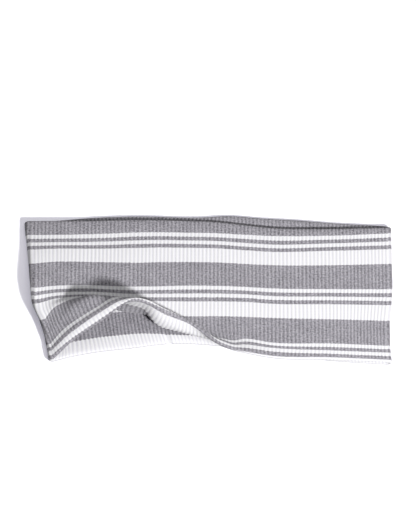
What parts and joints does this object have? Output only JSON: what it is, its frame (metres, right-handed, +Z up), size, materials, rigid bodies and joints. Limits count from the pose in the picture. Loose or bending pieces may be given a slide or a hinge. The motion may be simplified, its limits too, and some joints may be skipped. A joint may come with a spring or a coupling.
{
  "type": "sports headband",
  "caption": "Wide double-layer striped rib-knit loop that stretches round the head, laid flat with one lower corner pushed up in a fold.",
  "frame": {"origin": "middle of the footprint, on the surface that the band lies on", "axes": "+X along the flat band towards its right end, +Y across the band towards its top edge, +Z up"},
  "size_m": [0.2408, 0.1051, 0.0356],
  "materials": {
    "rib_knit": "heather grey and white striped rib knit, matt",
    "thread": "grey sewing thread, matt"
  },
  "bodies": {
    "root": {"front_outer_ply": "rib_knit", "front_inner_ply": "rib_knit", "back_outer_ply": "rib_knit", "back_inner_ply": "rib_knit", "left_end_fold": "rib_knit", "right_end_fold": "rib_knit", "closing_seam_thread": "thread", "cross_seam_allowances": "rib_knit", "cross_seam_thread": "thread"}
  },
  "joints": []
}
